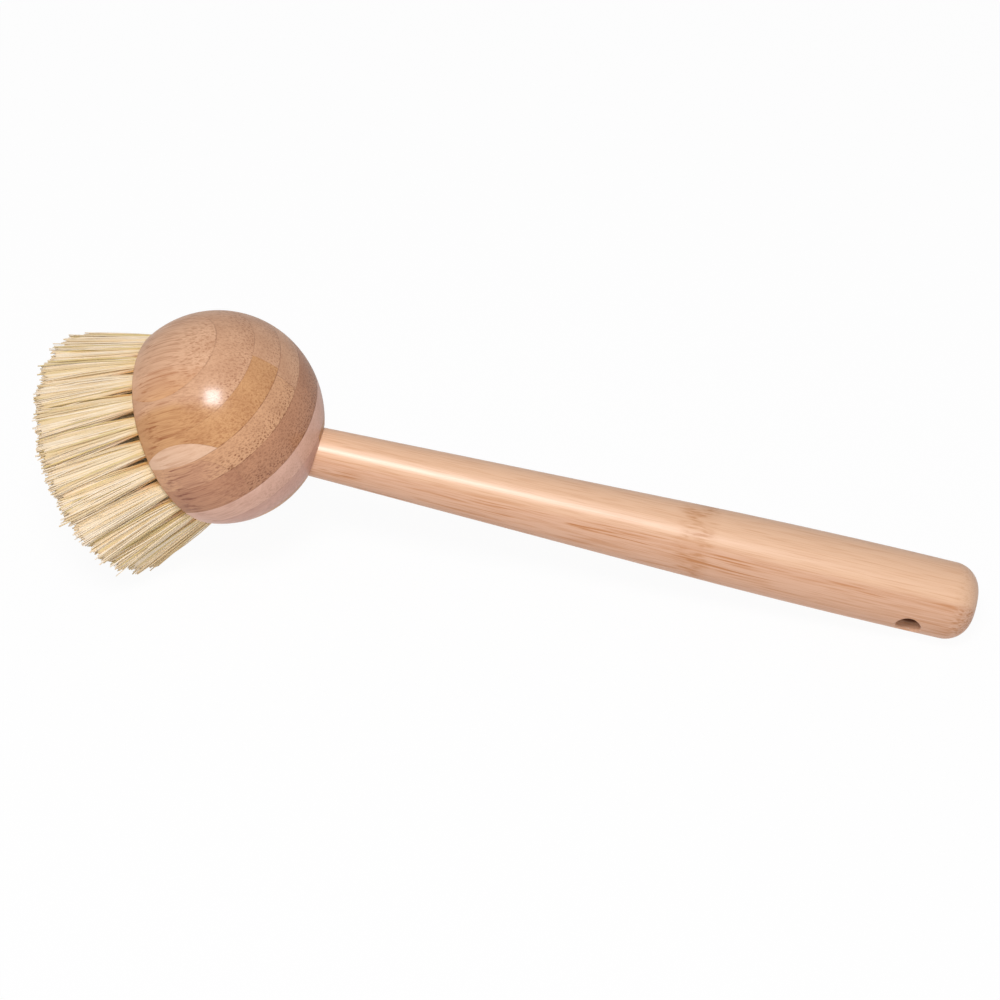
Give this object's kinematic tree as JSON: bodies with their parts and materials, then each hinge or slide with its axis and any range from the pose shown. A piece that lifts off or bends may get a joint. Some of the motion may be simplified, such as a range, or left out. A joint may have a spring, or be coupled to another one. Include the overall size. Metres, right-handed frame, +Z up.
{
  "type": "dish brush",
  "caption": "Dish brush with a turned ball head glued up from bamboo strips, a splayed fan of plant fibre tufts and a round tapered handle with a hanging hole.",
  "frame": {"origin": "middle of the underside of the brush's box, on the table that it rests on", "axes": "+Z up from the table, +X along the brush from the bristles to the handle's end, XZ its plane of symmetry"},
  "size_m": [0.2424, 0.0648, 0.071],
  "materials": {
    "handle_bamboo": "smooth satin bamboo with brown fibre streaks",
    "head_bamboo_tan": "lacquered bamboo strip, semi gloss",
    "head_bamboo_pale": "lacquered pale bamboo strip, semi gloss",
    "plant_fibre": "loose straw-like plant fibres, matt",
    "anchor_wire": "flat steel wire"
  },
  "bodies": {
    "root": {"handle": "handle_bamboo", "head_strip_1_1": "head_bamboo_pale", "head_strip_1_2": "head_bamboo_pale", "head_strip_2_1": "head_bamboo_tan", "head_strip_2_2": "head_bamboo_tan", "head_strip_2_3": "head_bamboo_tan", "head_strip_3_1": "head_bamboo_tan", "head_strip_3_2": "head_bamboo_tan", "head_strip_3_3": "head_bamboo_tan", "head_strip_3_4": "head_bamboo_pale", "head_strip_4_1": "head_bamboo_tan", "head_strip_4_2": "head_bamboo_tan", "head_strip_4_3": "head_bamboo_tan", "head_strip_4_4": "head_bamboo_tan", "head_strip_5_1": "head_bamboo_tan", "head_strip_5_2": "head_bamboo_tan", "head_strip_5_3": "head_bamboo_tan", "head_strip_5_4": "head_bamboo_tan", "head_strip_6_1": "head_bamboo_pale", "head_strip_6_2": "head_bamboo_pale", "head_strip_6_3": "head_bamboo_pale", "head_strip_7_1": "head_bamboo_tan", "head_strip_7_2": "head_bamboo_tan", "head_strip_7_3": "head_bamboo_tan", "head_strip_8_1": "head_bamboo_tan", "head_strip_8_2": "head_bamboo_tan", "head_strip_8_3": "head_bamboo_tan", "head_strip_9_1": "head_bamboo_tan", "tuft_01": "plant_fibre", "tuft_02": "plant_fibre", "tuft_03": "plant_fibre", "tuft_04": "plant_fibre", "tuft_05": "plant_fibre", "tuft_06": "plant_fibre", "tuft_07": "plant_fibre", "tuft_08": "plant_fibre", "tuft_09": "plant_fibre", "tuft_10": "plant_fibre", "tuft_11": "plant_fibre", "tuft_12": "plant_fibre", "tuft_13": "plant_fibre", "tuft_14": "plant_fibre", "tuft_15": "plant_fibre", "tuft_16": "plant_fibre", "tuft_17": "plant_fibre", "tuft_18": "plant_fibre", "tuft_19": "plant_fibre", "tuft_20": "plant_fibre", "tuft_21": "plant_fibre", "tuft_22": "plant_fibre", "tuft_23": "plant_fibre", "tuft_24": "plant_fibre", "tuft_anchors": "anchor_wire", "tuft_centre": "plant_fibre", "tuft_ring_2": "plant_fibre", "tuft_ring_3": "plant_fibre", "tuft_ring_4": "plant_fibre"}
  },
  "joints": []
}
